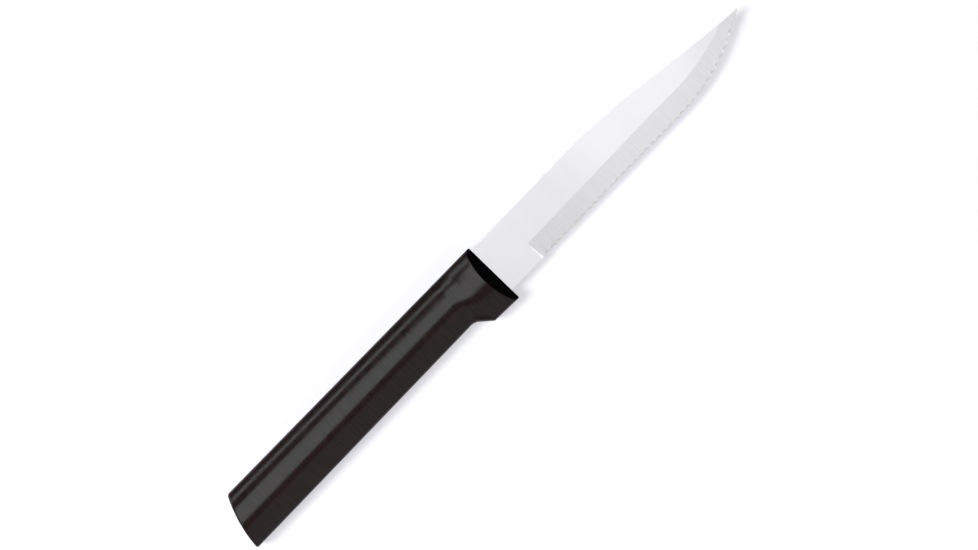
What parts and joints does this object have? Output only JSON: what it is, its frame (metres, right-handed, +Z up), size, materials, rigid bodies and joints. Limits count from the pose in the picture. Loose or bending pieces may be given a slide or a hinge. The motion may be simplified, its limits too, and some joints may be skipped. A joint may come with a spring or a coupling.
{
  "type": "steak knife",
  "caption": "Steak knife with a serrated drop-point blade and a slim black moulded handle with a guard, lying on its side.",
  "frame": {"origin": "under the middle of the knife's bounding box, on the surface that the knife lies on", "axes": "+X from the butt to the point, +Y from the cutting edge to the spine, +Z up, across the blade's flats"},
  "size_m": [0.197, 0.0198, 0.012],
  "materials": {
    "blade_steel": "satin flats, ground bevel",
    "handle_resin": "black, finely brushed across, with matt front faces"
  },
  "bodies": {
    "root": {"blade": "blade_steel", "handle": "handle_resin"}
  },
  "joints": []
}
